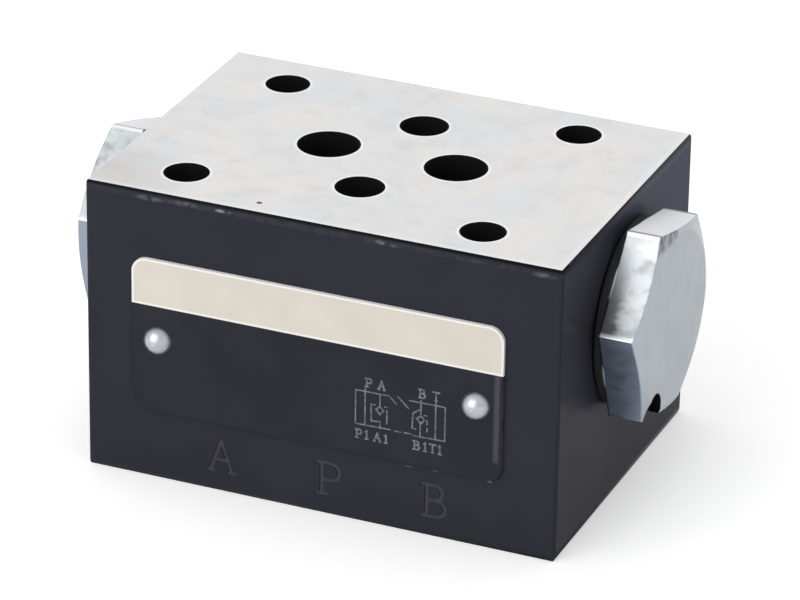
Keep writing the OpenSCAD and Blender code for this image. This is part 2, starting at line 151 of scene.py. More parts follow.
class ValveColours(bpy.types.PropertyGroup):
    """Colours of the valve's finishes."""

    coating: colour_property("Coating", "Black coating of the body's sides", linear(54, 54, 62))
    # Painted reflection: this bluer coating stands in for a blue reflection on the end faces
    painted_blue_reflection: colour_property(
        "Blued coating", "Bluer coating at the upper rear of the end faces", linear(62, 68, 84))
    sheen: colour_property("Sheen", "Bluish tint of what the coating mirrors", (0.78, 0.88, 1.0))
    # Painted shade: this dark line stands in for the shade on the rounded edge below the top face
    painted_edge_shade: colour_property(
        "Burnt edge", "Darker line of coating right below the ground top face", linear(28, 28, 32))
    # Also used for the painted glints below the name plate and the painted highlight line on the plate
    wear_and_glint: colour_property(
        "Worn coating", "Bare metal where the coating is chipped or stamped", linear(150, 150, 156))
    ground_warm: colour_property(
        "Ground steel, warm", "Warmer patches of the ground faces", linear(234, 230, 226))
    ground_cool: colour_property(
        "Ground steel, cool", "Cooler patches of the ground faces", linear(228, 227, 226))
    ground_dull: colour_property(
        "Ground steel, dull", "Duller patches and specks of the ground faces", linear(201, 197, 194))
    # Painted highlights: bright lips that stand in for light caught at the rims of the holes and edges
    painted_lip_highlight: colour_property(
        "Ground steel, bright", "Bright lips round the holes and along the edges", linear(246, 245, 243))
    # Painted shade: this near-black stands in for the shade inside the holes and the nick
    bore: colour_property("Bores", "Dark oiled walls inside the holes", linear(22, 21, 21))
    band: colour_property(
        "Plate band", "Cream band along the top of the name plate", linear(228, 221, 210))
    band_line: colour_property(
        "Plate line", "White line round the cream band", linear(248, 246, 242))
    field: colour_property("Plate field", "Black field of the name plate", linear(52, 52, 60))
    plate_rim: colour_property(
        "Plate rim", "Bare cut edge of the name plate", linear(104, 104, 106))
    print_grey: colour_property(
        "Print", "Grey of the lines and letters on the plate", linear(122, 123, 130))
    plating: colour_property("Plating", "Plating of the end plugs", linear(184, 191, 197))
    # Painted light: the flats that face the front are painted brighter
    front_lit_plating: colour_property(
        "Bright plating", "Bright plating of the flats that face the front", linear(213, 217, 219))
    # Painted highlight: the flats that face up and the corners of the front flats are painted paler
    painted_highlight_plating: colour_property(
        "Pale plating", "Dull pale plating of the flats that face up", linear(236, 239, 241))
    # Painted shade: the flats that face down are painted darker and bluer
    painted_shade_plating: colour_property(
        "Shaded plating", "Bluish oily plating of the flats that face down", linear(142, 152, 170))
    # Dark smears: partly random stains, partly painted reflection of the body and painted shade lines
    smear_and_shade: colour_property(
        "Smear", "Dull smears on the flats of the end plugs", linear(92, 95, 106))
    # Painted shade: the collars between the hexagons and the body are painted dark
    shadowed: colour_property("Oiled metal", "Dark oily collars of the end plugs", linear(58, 59, 62))
    pin: colour_property("Pins", "Bright pins of the name plate", linear(183, 184, 191))
    steel: colour_property(
        "Hardened steel", "Ground steel of the poppets, bushes and spool", linear(186, 187, 190))
    spring: colour_property(
        "Spring wire", "Drawn wire of the poppet springs", linear(150, 152, 156))
    rubber: colour_property("Seal rubber", "Black rubber of the sealing rings", linear(28, 28, 29))
    support: colour_property(
        "Support rings", "Ivory plastic of the support rings", linear(232, 229, 218))
    floor: colour_property("Floor", "Pale floor under the valve", linear(236, 236, 236))


class ValveSizes(bpy.types.PropertyGroup):
    """Sizes of the markings and of the made pieces."""

    band_height: length_property(
        "Band height", "Height of the cream band from the top of the plate", 6.4)
    line_width: length_property("Line width", "Width of the white line round the cream band", 0.3)
    plate_corner: length_property("Plate corner", "Radius of the plate's corners", 2.0)
    stamp_height: length_property(
        "Stamp height", "Height of the port letters stamped in the front face", 4.4)
    stamp_base: length_property(
        "Stamp base", "Height of the foot of the stamped letters above the base face", 2.8)
    stamp_width: length_property("Stamp width", "Width of the strokes of the stamped letters", 0.55)
    stamp_depth: length_property(
        "Stamp depth", "Depth of the port letters stamped in the front face", 0.2)
    print_thickness: length_property(
        "Print thickness", "Thickness of the print on the name plate", 0.02)
    symbol_line: length_property("Symbol line", "Width of the lines of the valve symbol", 0.18)
    letter_line: length_property(
        "Letter line", "Width of the strokes of the port letters beside the symbol", 0.22)
    symbol_ball: length_property("Symbol ball", "Radius of the balls in the valve symbol", 0.4)
    symbol_letter: length_property(
        "Symbol letters", "Height of the port letters beside the valve symbol", 1.15)
    # Painted shade: height of the dark line painted below the top face
    painted_shade_height: length_property(
        "Burnt height", "Height of the burnt edge below the top face", 0.5)
    pit_reach: length_property(
        "Pit reach", "Distance from the middle of the pit in the top face to clean metal", 0.4)
    hex_width: length_property(
        "Hexagon width", "Width of the plugs' hexagons across their flats", 24)
    edge_round: length_property("Edge round", "Radius that softens the edges of the end plugs", 0.3)
    collar_height: length_property(
        "Collar height", "Height of the collars between the hexagons and the body", 1.4)
    nick_radius: length_property("Nick radius", "Radius of the nick in the rim of plug B", 2.4)
    nick_depth: length_property("Nick depth", "Depth of the nick in the rim of plug B", 1.5)
    nick_reach: length_property(
        "Nick reach", "Distance from the valve axis to the middle of the nick", 12.0)
    nick_turn: angle_property(
        "Nick turn", "Turn of the nick round the valve axis, from the front down", 59)
    spring_wire: length_property("Spring wire", "Diameter of the spring wire", 0.8)
    closed_gap: length_property(
        "Closed turn gap", "Gap between the closed end turns of a spring", 0.08)
    spring_turns: IntProperty(
        name="Spring turns", description="Turns of each poppet spring", default=7, min=4, max=12)


class ValveStage(bpy.types.PropertyGroup):
    """Camera, lamps and floor."""

    azimuth: angle_property("Azimuth", "Turn of the camera from the front towards end B", 22.627)
    elevation: angle_property("Elevation", "Height of the camera above the level", 25.740)
    roll: angle_property("Roll", "Turn of the camera about its own axis", 0.936)
    distance: length_property(
        "Distance", "Distance from the camera to the point that it looks at", 620)
    aim: place_property("Aim", "Point that the camera looks at", (0.0051754, -0.0091916, 0.0248364))
    lens: FloatProperty(
        name="Lens", description="Focal length in millimetres", default=221.35, min=10)
    ambient: FloatProperty(
        name="Ambient", description="Light of the room on the valve", default=0.48, min=0)
    key_place: place_property(
        "Key lamp place", "Place of the large lamp at the front", (-0.42, -0.95, 0.50))
    key_size: length_property("Key lamp size", "Width of the large lamp at the front", 1000)
    key_power: power_property("Key lamp", "Power of the large lamp at the front", 6.0)
    top_place: place_property(
        "Top lamp place", "Place of the large lamp overhead", (-0.10, 0.15, 1.0))
    top_size: length_property("Top lamp size", "Width of the large lamp overhead", 1800)
    top_power: power_property("Top lamp", "Power of the large lamp overhead", 6.0)
    floor_lift: share_property(
        "Floor lift", "Share of plain white in the floor that the camera sees", 0.4)
    floor_radius: length_property("Floor radius", "Radius of the floor", 4000)
    floor_height: length_property("Floor height", "Height of the floor above the base face", 0.01)


class Finish:
    """Procedural material built node by node around one surface shader."""

    def __init__(self, name, metallic=0.0, roughness=0.5, specular=0.5):
        self.material = bpy.data.materials.new(name)
        self.material.use_nodes = True
        self.tree = self.material.node_tree
        self.shader = self.tree.nodes["Principled BSDF"]
        texture = self.add("ShaderNodeTexCoord")
        self.place = texture.outputs["Object"]
        self.x, self.y, self.z = self.add("ShaderNodeSeparateXYZ", Vector=self.place).outputs
        facing = self.add("ShaderNodeSeparateXYZ", Vector=texture.outputs["Normal"]).outputs
        self.facing_x, self.facing_y, self.facing_z = facing
        self.surface("Metallic", metallic)
        self.surface("Roughness", roughness)
        self.surface("Specular IOR Level", specular)

    def add(self, kind, settings=None, **inputs):
        """Add a node, with its settings and the values or links of its inputs."""
        node = self.tree.nodes.new(kind)
        for name, value in (settings or {}).items():
            setattr(node, name, value)
        for name, value in inputs.items():
            self.feed(node.inputs[name.replace("_", " ")], value)
        return node

    def feed(self, socket, value):
        """Link a socket to another, or set its value."""
        if isinstance(value, bpy.types.NodeSocket):
            self.tree.links.new(value, socket)
        else:
            socket.default_value = value

    def surface(self, name, value):
        """Set or link an input of the surface shader."""
        self.feed(self.shader.inputs[name], value)

    def math(self, operation, first, second=0.0):
        """Result of one operation on two numbers."""
        node = self.add("ShaderNodeMath", {"operation": operation})
        self.feed(node.inputs[0], first)
        self.feed(node.inputs[1], second)
        return node.outputs[0]

    def both(self, *masks):
        """Mask where all the masks hold."""
        result = masks[0]
        for mask in masks[1:]:
            result = self.math("MULTIPLY", result, mask)
        return result

    def either(self, *masks):
        """Mask where any of the masks holds."""
        result = masks[0]
        for mask in masks[1:]:
            result = self.math("MAXIMUM", result, mask)
        return result

    def outside(self, mask):
        """Mask of what another mask leaves."""
        return self.math("SUBTRACT", 1.0, mask)

    def rise(self, value, low, high, start=0.0, end=1.0):
        """Smooth change from start to end while a value goes from low to high."""
        node = self.add(
            "ShaderNodeMapRange", {"interpolation_type": "SMOOTHSTEP"},
            Value=value, From_Min=low, From_Max=high, To_Min=start, To_Max=end)
        return node.outputs["Result"]

    def spread(self, pattern, start=0.0, end=1.0):
        """Smooth change from start to end over the middle of a cloudy pattern."""
        return self.rise(pattern, CLOUD_LOW, CLOUD_HIGH, start, end)

    def zone(self, *limits):
        """Mask where each value has come from its first limit to its second."""
        return self.both(*(self.rise(value, low, high) for value, low, high in limits))

    def past(self, value, limit):
        """How far a value lies past a limit."""
        return self.math("SUBTRACT", value, limit)

    def part(self, mask, share):
        """Mask with a share of its strength."""
        return self.math("MULTIPLY", mask, share)

    def size(self, value):
        """Distance from nought."""
        return self.math("ABSOLUTE", value)

    def mix(self, share, first, second):
        """Colour between two colours."""
        node = self.add("ShaderNodeMix", {"data_type": "RGBA"})
        self.feed(node.inputs[0], share)
        for socket, colour in ((node.inputs[6], first), (node.inputs[7], second)):
            if not isinstance(colour, bpy.types.NodeSocket):
                colour = (*colour[:3], 1.0)
            self.feed(socket, colour)
        return node.outputs[2]

    def layers(self, colour, *coats):
        """Colour with others laid over it in turn, each where its mask holds."""
        for mask, coat in coats:
            colour = self.mix(mask, colour, coat)
        return colour

    def between(self, share, first, second):
        """Number between two numbers."""
        node = self.add("ShaderNodeMix", {"data_type": "FLOAT"})
        self.feed(node.inputs[0], share)
        self.feed(node.inputs[2], first)
        self.feed(node.inputs[3], second)
        return node.outputs[0]

    def moved(self, stretch=(1, 1, 1), shift=(0, 0, 0)):
        """Place on the piece, stretched and shifted."""
        scaled = self.add("ShaderNodeVectorMath", {"operation": "MULTIPLY_ADD"})
        self.feed(scaled.inputs[0], self.place)
        self.feed(scaled.inputs[1], stretch)
        self.feed(scaled.inputs[2], shift)
        return scaled.outputs[0]

    def noise(self, grain, detail, stretch=(1, 1, 1), shift=(0, 0, 0)):
        """Cloudy pattern with patches of about the given size."""
        node = self.add(
            "ShaderNodeTexNoise", Vector=self.moved(stretch, shift), Scale=1 / grain, Detail=detail)
        return node.outputs["Fac"]

    def away(self, point, weight=(1, 1, 1)):
        """Distance from a point, with a weight for each direction."""
        shift = tuple(-place * part for place, part in zip(point, weight))
        length = self.add("ShaderNodeVectorMath", {"operation": "LENGTH"})
        self.feed(length.inputs[0], self.moved(weight, shift))
        return length.outputs["Value"]

    def near(self, point, reach):
        """Mask that fades from one at a point to nothing at the given reaches."""
        return self.rise(self.away(point, tuple(1 / part for part in reach)), 1.0, 0.3)

    def from_axis(self):
        """Distance from the valve axis."""
        return self.away((0, 0, AXIS_HEIGHT), (0, 1, 1))

    def end_face(self):
        """Mask of the faces that look along the valve axis."""
        return self.rise(self.size(self.facing_x), 0.8, 0.95)

    def rings(self, width):
        """Pattern of fine turning marks round the valve axis."""
        node = self.add(
            "ShaderNodeTexNoise", {"noise_dimensions": "1D"},
            W=self.math("ADD", self.from_axis(), self.x), Scale=1 / width, Detail=2.0)
        return node.outputs["Fac"]

    def bump(self, height, depth, strength=0.4, edge_round=0.0):
        """Fine relief in the surface, with softened edges if a radius is given."""
        node = self.add("ShaderNodeBump", Height=height, Distance=depth, Strength=strength)
        if edge_round:
            soft = self.add("ShaderNodeBevel", {"samples": 16}, Radius=edge_round)
            self.feed(node.inputs["Normal"], soft.outputs["Normal"])
        self.surface("Normal", node.outputs["Normal"])


def dress(node_name, finish):
    """Give a CAD node a finish."""
    target = frame["nodes"][node_name]
    target.data.materials.clear()
    target.data.materials.append(finish.material)


def face_holes():
    """Place and radius of each hole in the ground faces, from the record's mounts."""
    holes = []
    for mount in frame["record"]["mounts"]:
        x, y, _ = mount["pos_m"]
        sizes = mount["dims"]
        if mount["kind"] == "bolt_pattern":
            reach = sizes["spacing_y_mm"] * MM / 2
            holes += [(x, y - reach, sizes["hole_r_mm"] * MM), (x, y + reach, sizes["hole_r_mm"] * MM)]
        elif mount["kind"] == "bore" and mount["axis"][2] > 0:
            holes.append((x, y, sizes["r_mm"] * MM))
    return holes


# Grains of the ground faces, and their dull corner at the front of end A
GROUND_PATCH = 9 * MM
GROUND_CLOUD = 3.2 * MM
GROUND_FLECK = 0.6 * MM
GROUND_SHINE = 4 * MM
GRINDING = 0.3 * MM
DULL_CORNER = 16 * MM

# Where the bright lips of the ground faces, which are painted highlights, begin and are full, from the
# holes and the edges
HOLE_LIP = (0.75 * MM, 0.35 * MM)
EDGE_LIP = (1.3 * MM, 0.8 * MM)


def ground_colour(finish, colours):
    """Mottled ground steel with bright lips, painted highlights, round the holes and along the edges at
    end B and the front.
    """
    patch = finish.noise(GROUND_PATCH, 4)
    cloud = finish.noise(GROUND_CLOUD, 5, shift=(0.3, 0.1, 0))
    fleck = finish.noise(GROUND_FLECK, 2, shift=(0.8, 0.5, 0))
    corner = finish.near((BODY_LOW.x, BODY_LOW.y, BODY_HIGH.z), (DULL_CORNER,) * 3)
    # Painted highlights: bright lips round the holes and along the edges at end B and the front
    lips = [
        finish.rise(finish.past(BODY_HIGH.x, finish.x), *EDGE_LIP, 0.0, 0.3),
        finish.rise(finish.past(finish.y, BODY_LOW.y), *EDGE_LIP, 0.0, 0.4)]
    for x, y, radius in face_holes():
        away = finish.away((x, y, 0), (1, 1, 0))
        lips.append(finish.rise(finish.past(away, radius), *HOLE_LIP, 0.0, 0.8))
    return finish.layers(
        colours.ground_warm,
        (finish.rise(patch, 0.35, 0.65), colours.ground_cool),
        (finish.rise(cloud, 0.45, 0.8, 0.0, 0.30), colours.ground_dull),
        (finish.rise(fleck, 0.66, 0.80, 0.0, 0.5), colours.ground_dull),
        (finish.part(corner, 0.5), colours.ground_dull),
        (finish.either(*lips), colours.painted_lip_highlight))


# Chips and rubbed lines of the front face, and three painted glints below the name plate: place along
# and up the front, half width and half height, all in millimetres, and how bare the metal is there or
# how bright the glint is
CHIPS_AND_GLINTS = (
    (0.0, 39.15, 45.0, 0.50, 0.05),
    (-23.2, 39.10, 2.6, 0.45, 0.28),
    (-18.4, 39.20, 3.0, 0.45, 0.26),
    (-13.5, 39.20, 0.9, 0.30, 0.9),
    (-12.3, 39.20, 0.5, 0.22, 0.5),
    (8.15, 39.20, 0.9, 0.35, 0.8),
    (9.9, 39.05, 0.6, 0.25, 0.30),
    (21.5, 39.10, 7.0, 0.22, 0.12),
    (29.6, 39.00, 2.0, 0.45, 0.30),
    (30.9, 38.60, 0.6, 0.80, 0.30),
    # Painted glints: these three lighter spots below the plate stand in for light caught by its edge
    (12.4, 9.25, 0.7, 0.14, 0.35),
    (16.0, 9.35, 0.7, 0.12, 0.25),
    (23.2, 9.45, 0.5, 0.22, 0.5),
)
CHIP_DEPTH = 1.0 * MM
CHIP_GRAIN = 0.9 * MM


def chips_and_glints(finish):
    """Mask of the chips and rubbed lines in the coating of the front face, and of the painted glints
    below the name plate.
    """
    masks = []
    for x, z, wide, tall, share in CHIPS_AND_GLINTS:
        spot = finish.near((x * MM, BODY_LOW.y, z * MM), (wide * MM, CHIP_DEPTH, tall * MM))
        masks.append(finish.part(spot, share))
    return finish.both(finish.either(*masks), finish.rise(finish.noise(CHIP_GRAIN, 3), 0.3, 0.6))


# Where the parts of the body begin and are full: the skin of the ground faces, the bores in from the
# sides, the painted shade line back from the front, and the painted blue reflection up and back from the
# origin
GROUND_SKIN = (0.06 * MM, 0.02 * MM)
BORE_INSET = (0.4 * MM, 0.6 * MM)
SHADE_LINE_DEPTH = (2.6 * MM, 2.2 * MM)
BLUE_REFLECTION_HEIGHT = (16 * MM, 34 * MM)
BLUE_REFLECTION_DEPTH = (-14 * MM, 12 * MM)

# The same for the stamped letters: in from the ends, below their feet and above their heads
STAMP_INSET = (2 * MM, 3 * MM)
STAMP_FOOT = (1.2 * MM, 1.0 * MM)
STAMP_HEAD = (1.8 * MM, 0.8 * MM)

# Grains of the coating, how bare the stamped letters are, and the pit's tone against bare metal
COAT_PATCH = 14 * MM
COAT_GRAIN = 0.5 * MM
STAMP_WEAR = 0.125
PIT_TONE = 0.6


def stamp_mask(finish, sizes):
    """Mask of the walls and floors of the stamped letters."""
    behind = finish.past(finish.y, BODY_LOW.y)
    depth = sizes.stamp_depth
    foot = sizes.stamp_base
    head = foot + sizes.stamp_height
    return finish.zone(
        (behind, 0.1 * depth, 0.25 * depth),
        (behind, 3 * depth, 2 * depth),
        (finish.past(BODY_HIGH.x, finish.size(finish.x)), *STAMP_INSET),
        (finish.past(foot, finish.z), *STAMP_FOOT),
        (finish.past(finish.z, head), *STAMP_HEAD))


def body_finish(colours, sizes):
    """Black coated sides, ground top and base, with bores painted near-black as shade, a painted shade
    line below the top face, a painted blue reflection on the end faces, and painted highlights and
    glints.
    """
    finish = Finish("blackened_body_finish", specular=0.02)
    below_top = finish.past(BODY_HIGH.z, finish.z)
    level = finish.rise(finish.size(finish.facing_z), 0.90, 0.97)
    skin = finish.either(
        finish.rise(below_top, *GROUND_SKIN), finish.rise(finish.z, *GROUND_SKIN))
    pit = finish.rise(finish.away(PIT_PLACE), sizes.pit_reach, 0.8 * sizes.pit_reach)
    ground = finish.either(finish.both(level, skin), pit)
    # Painted shade: the walls inside the holes are painted near-black
    inside = finish.both(
        finish.zone(
            (finish.past(BODY_HIGH.x, finish.size(finish.x)), *BORE_INSET),
            (finish.past(BODY_HIGH.y, finish.size(finish.y)), *BORE_INSET)),
        finish.outside(ground))
    # Painted shade: a dark line below the top face, for the shade on the rounded edge
    painted_shade = finish.zone(
        (below_top, sizes.painted_shade_height, sizes.painted_shade_height / 2),
        (finish.past(finish.y, BODY_LOW.y), *SHADE_LINE_DEPTH))
    # Painted reflection: bluer coating at the upper rear of the end faces
    blue_reflection = finish.both(
        finish.end_face(), finish.zone((finish.z, *BLUE_REFLECTION_HEIGHT), (finish.y, *BLUE_REFLECTION_DEPTH)))
    wear_and_glint = finish.either(chips_and_glints(finish), finish.part(stamp_mask(finish, sizes), STAMP_WEAR))

    # The coating's tone varies at random, shifted so that a lighter patch falls at the lower left of the
    # front as painted light
    sheen = finish.noise(COAT_PATCH, 2, shift=(0.1, 0.7, 0.4))
    finish.surface("Base Color", finish.layers(
        colours.coating,
        (finish.spread(sheen), toned(colours.coating, 0.90)),
        (blue_reflection, colours.painted_blue_reflection),
        (painted_shade, colours.painted_edge_shade),
        (wear_and_glint, colours.wear_and_glint),
        (ground, ground_colour(finish, colours)),
        (pit, toned(colours.wear_and_glint, PIT_TONE)),
        (inside, colours.bore)))
    finish.surface("Specular Tint", (*colours.sheen, 1.0))

    finish.surface("Metallic", finish.between(ground, 0.0, 0.9))
    rough = finish.between(
        finish.either(painted_shade, wear_and_glint, inside), finish.spread(sheen, *COAT_GLOSS), WORN_GLOSS)
    ground_rough = finish.spread(finish.noise(GROUND_SHINE, 4), *GROUND_GLOSS)
    finish.surface("Roughness", finish.between(ground, rough, ground_rough))
    grain = finish.noise(COAT_GRAIN, 3)
    grinding = finish.noise(GRINDING, 2, stretch=(0.05, 1, 1))
    finish.bump(finish.between(ground, grain, grinding), 0.012 * MM)
    return finish


# Grains of the plate, and the soft edge of its print
BAND_CLOUD = 6 * MM
FIELD_PATCH = 10 * MM
RIM_WEAR = 3 * MM
PLATE_GRAIN = 0.35 * MM
PRINT_EDGE = 0.03 * MM

# Where the painted highlight line on the field begins and is full: inwards and outwards beside the
# plate's right edge, and up from its lower edge
LINE_INNER = (1.3 * MM, 0.9 * MM)
LINE_OUTER = (0.3 * MM, 0.5 * MM)
LINE_FOOT = (2.2 * MM, 3.2 * MM)


def plate_finish(colours, sizes):
    """Cream band with a white line round it, above a black field."""
    finish = Finish("name_plate_finish", specular=0.02)
    inset = sizes.line_width
    corner = sizes.plate_corner
    band_low = PLATE_HIGH.z - sizes.band_height
    middle = (PLATE_LOW + PLATE_HIGH) / 2
    half = (PLATE_HIGH - PLATE_LOW) / 2
    from_middle = finish.size(finish.past(finish.x, middle.x))
    across = finish.math("MAXIMUM", finish.past(from_middle, half.x - corner), 0.0)
    upward = finish.math("MAXIMUM", finish.past(finish.z, PLATE_HIGH.z - corner), 0.0)
    reach = finish.math("SQRT", finish.math(
        "ADD", finish.math("MULTIPLY", across, across), finish.math("MULTIPLY", upward, upward)))
    above_field = finish.past(finish.z, band_low)
    band = finish.rise(above_field, -PRINT_EDGE, PRINT_EDGE)
    inner = finish.zone(
        (finish.past(reach, corner - inset), PRINT_EDGE, -PRINT_EDGE),
        (finish.past(above_field, inset), -PRINT_EDGE, PRINT_EDGE))
    cloud = finish.noise(BAND_CLOUD, 3)
    cream = finish.mix(finish.spread(cloud, 0.0, 0.5), colours.band, toned(colours.band, 0.9))
    printed = finish.mix(inner, colours.band_line, cream)
    sheen = finish.noise(FIELD_PATCH, 2, shift=(0.2, 0.4, 0.9))
    from_edge = finish.past(PLATE_HIGH.x, finish.x)
    # Painted highlight: a lighter line on the field just inside the plate's right edge
    edge_highlight = finish.zone(
        (from_edge, *LINE_INNER), (from_edge, *LINE_OUTER),
        (finish.past(finish.z, PLATE_LOW.z), *LINE_FOOT))
    cut_edge = finish.rise(finish.size(finish.facing_y), 0.8, 0.4)
    rubbed = finish.rise(finish.noise(RIM_WEAR, 3), 0.4, 0.6, 0.1, 0.5)
    finish.surface("Base Color", finish.layers(
        colours.field,
        (finish.spread(sheen), toned(colours.field, 0.85)),
        (finish.part(edge_highlight, 0.16), colours.wear_and_glint),
        (finish.both(cut_edge, rubbed), colours.plate_rim),
        (band, printed)))
    finish.surface("Roughness", finish.spread(sheen, *PLATE_GLOSS))
    finish.bump(finish.noise(PLATE_GRAIN, 2), 0.008 * MM)
    return finish


# Tones of the plating where clouds dull it, and painted shade on the end face and, less deep, on its
# chamfer
CLOUDED_TONE = 0.85
FACE_TONE = 0.70
CHAMFER_TONE = 0.80

# Grains of the plating, and how far the streaks carry the edge of the painted reflection of the body
PLATING_CLOUD = 4 * MM
PLATING_MOTTLE = 1.5 * MM
PLATING_STREAK = 1.3 * MM
PLATING_GRAIN = 0.5 * MM
REFLECTION_RAGGED = 3 * MM

# Where the painted reflection of the body on the front flats and the painted shade on the chamfer begin
# and are full: from the body's end face, and above the valve axis
BODY_REFLECTION_REACH = (5.7 * MM, 3.9 * MM)
BODY_REFLECTION_HEIGHT = (10.5 * MM, 4.0 * MM)
CHAMFER_SHADE_HEIGHT = (10.6 * MM, 11.8 * MM)
CHAMFER_SHADE_FRONT = (1.0 * MM, -1.0 * MM)

# Where the painted highlights at the corners of the front flats and the painted shade lines at the
# corners of the flats that face up begin and are full, in from the corners
CORNER_HIGHLIGHT = (0.35 * MM, 0.12 * MM)
CORNER_SHADE = (0.40 * MM, 0.20 * MM)

# Where the nick's painted shade begins and is full: at its wall, under its floor and below the end face
NICK_WALL = (0.06 * MM, 0.03 * MM)
NICK_FLOOR = (0.05 * MM, 0.02 * MM)
NICK_RIM = (0.03 * MM, 0.08 * MM)


def nick_mask(finish, sizes):
    """Mask of the walls and the floor of the nick in the rim of plug B."""
    place = (
        PLUG_OUTER,
        -sizes.nick_reach * math.cos(sizes.nick_turn),
        AXIS_HEIGHT - sizes.nick_reach * math.sin(sizes.nick_turn))
    below_face = finish.past(PLUG_OUTER, finish.x)
    return finish.zone(
        (finish.past(finish.away(place, (0, 1, 1)), sizes.nick_radius), *NICK_WALL),
        (finish.past(below_face, sizes.nick_depth), *NICK_FLOOR),
        (below_face, *NICK_RIM))


def smear_and_reflection_mask(finish, reach, streak):
    """Mask of the smears of the flats: random dark mottle, and a ragged painted reflection of the dark
    body that is strongest near the body and below.
    """
    above = finish.past(finish.z, AXIS_HEIGHT)
    ragged = finish.math("ADD", finish.past(reach, BODY_HIGH.x), finish.part(streak, REFLECTION_RAGGED))
    mottle = finish.noise(PLATING_MOTTLE, 1.5, shift=(0.7, 0.2, 0.5))
    return finish.either(
        finish.both(
            finish.rise(above, *BODY_REFLECTION_HEIGHT, 0.2, 1.0), finish.rise(ragged, *BODY_REFLECTION_REACH, 0.0, 0.9)),
        finish.rise(mottle, 0.40, 0.80, 0.0, 0.45))


def plug_finish(colours, sizes):
    """Bluish plating with smears, painted light and shade on the flats, collars and nick painted dark as
    shade, and softened edges.
    """
    finish = Finish("plated_plug_finish", metallic=1.0)
    cloud = finish.noise(PLATING_CLOUD, 4)
    streak = finish.noise(PLATING_STREAK, 4, stretch=(0.6, 1, 1), shift=(0.4, 0.9, 0.2))

    face = finish.end_face()
    chamfer = finish.both(face, finish.rise(finish.size(finish.facing_x), 0.995, 0.975))
    # Painted light and shade: flats that face the front are painted brighter, those that face up paler,
    # and those that face down darker
    upward = finish.rise(finish.facing_z, 0.70, 0.98)
    downward = finish.rise(finish.facing_z, -0.05, -0.25)
    front_flat = finish.both(
        finish.outside(face), finish.rise(finish.facing_z, 0.2, 0.5), finish.outside(upward))
    reach = finish.size(finish.x)
    collar_end = BODY_HIGH.x + sizes.collar_height
    # Painted shade: the collar is painted dark
    collar = finish.rise(reach, collar_end + 0.05 * MM, collar_end)
    # Painted shade: the nick is painted near-black
    nick = nick_mask(finish, sizes)

    # Painted highlight at the corners of the front flats, and painted shade lines at the corners of the
    # flats that face up
    inward = finish.past(sizes.hex_width / math.sqrt(3), finish.from_axis())
    corner_highlight = finish.both(front_flat, finish.rise(inward, *CORNER_HIGHLIGHT))
    seam_shade = finish.both(upward, finish.rise(inward, *CORNER_SHADE, 0.0, 0.8))
    # Painted shade: a dark line on the chamfer near the upper front corner
    chamfer_shade = finish.both(
        chamfer,
        finish.rise(finish.past(finish.z, AXIS_HEIGHT), *CHAMFER_SHADE_HEIGHT),
        finish.rise(finish.y, *CHAMFER_SHADE_FRONT),
        finish.rise(streak, 0.35, 0.60, 0.3, 0.9))
    # Smears: random dark mottle, the body's painted reflection near it, and painted shade lines
    smeared_and_shaded = finish.either(
        finish.both(front_flat, smear_and_reflection_mask(finish, reach, streak)), seam_shade, chamfer_shade)

    # Painted shade on the end face, a little lighter on its chamfer
    end_plating = finish.mix(
        chamfer, toned(colours.plating, FACE_TONE), toned(colours.plating, CHAMFER_TONE))
    finish.surface("Base Color", finish.layers(
        colours.plating,
        (front_flat, colours.front_lit_plating),
        (finish.rise(cloud, 0.3, 0.75, 0.0, 0.5), toned(colours.plating, CLOUDED_TONE)),
        (face, end_plating),
        (downward, colours.painted_shade_plating),
        (upward, colours.painted_highlight_plating),
        (smeared_and_shaded, colours.smear_and_shade),
        (corner_highlight, colours.painted_highlight_plating),
        (collar, colours.shadowed),
        (nick, colours.bore)))

    rough = finish.between(face, finish.spread(streak, *FLAT_GLOSS), finish.spread(cloud, *FACE_GLOSS))
    rough = finish.between(upward, rough, PALE_GLOSS)
    finish.surface("Roughness", finish.between(finish.either(collar, nick), rough, COLLAR_NICK_GLOSS))
    finish.surface("Metallic", finish.between(finish.both(upward, finish.outside(collar)), 1.0, 0.15))
    relief = finish.both(finish.noise(PLATING_GRAIN, 3), finish.outside(downward))
    finish.bump(relief, 0.004 * MM, edge_round=sizes.edge_round)
    return finish


def steel_finish(name, colour, mark_width):
    """Bright inner metal with fine turning marks and cloudy gloss."""
    finish = Finish(name, metallic=1.0)
    cloud = finish.noise(4 * MM, 4)
    finish.surface("Base Color", finish.mix(
        finish.rise(cloud, 0.3, 0.75, 0.0, 0.6), colour, toned(colour, 0.8)))
    finish.surface("Roughness", finish.spread(cloud, *STEEL_GLOSS))
    finish.bump(finish.rings(mark_width), 0.006 * MM)
    return finish


def pin_finish(colours):
    """Polished pins with a little tarnish."""
    finish = Finish("plate_pin_finish", metallic=1.0)
    cloud = finish.noise(0.8 * MM, 3)
    finish.surface("Base Color", finish.mix(
        finish.rise(cloud, 0.3, 0.8, 0.0, 0.5), colours.pin, toned(colours.pin, 0.75)))
    finish.surface("Roughness", finish.spread(cloud, *PIN_GLOSS))
    finish.bump(finish.noise(0.25 * MM, 2), 0.01 * MM)
    return finish


def rubber_finish(colours):
    """Matt black rubber with a slight bloom."""
    finish = Finish("seal_rubber_finish")
    bloom = finish.noise(2.5 * MM, 3)
    finish.surface("Base Color", finish.mix(
        finish.rise(bloom, 0.35, 0.75), colours.rubber, toned(colours.rubber, 1.7)))
    finish.surface("Roughness", finish.spread(bloom, *RUBBER_GLOSS))
    finish.bump(finish.noise(0.2 * MM, 2), 0.008 * MM, 0.5)
    return finish


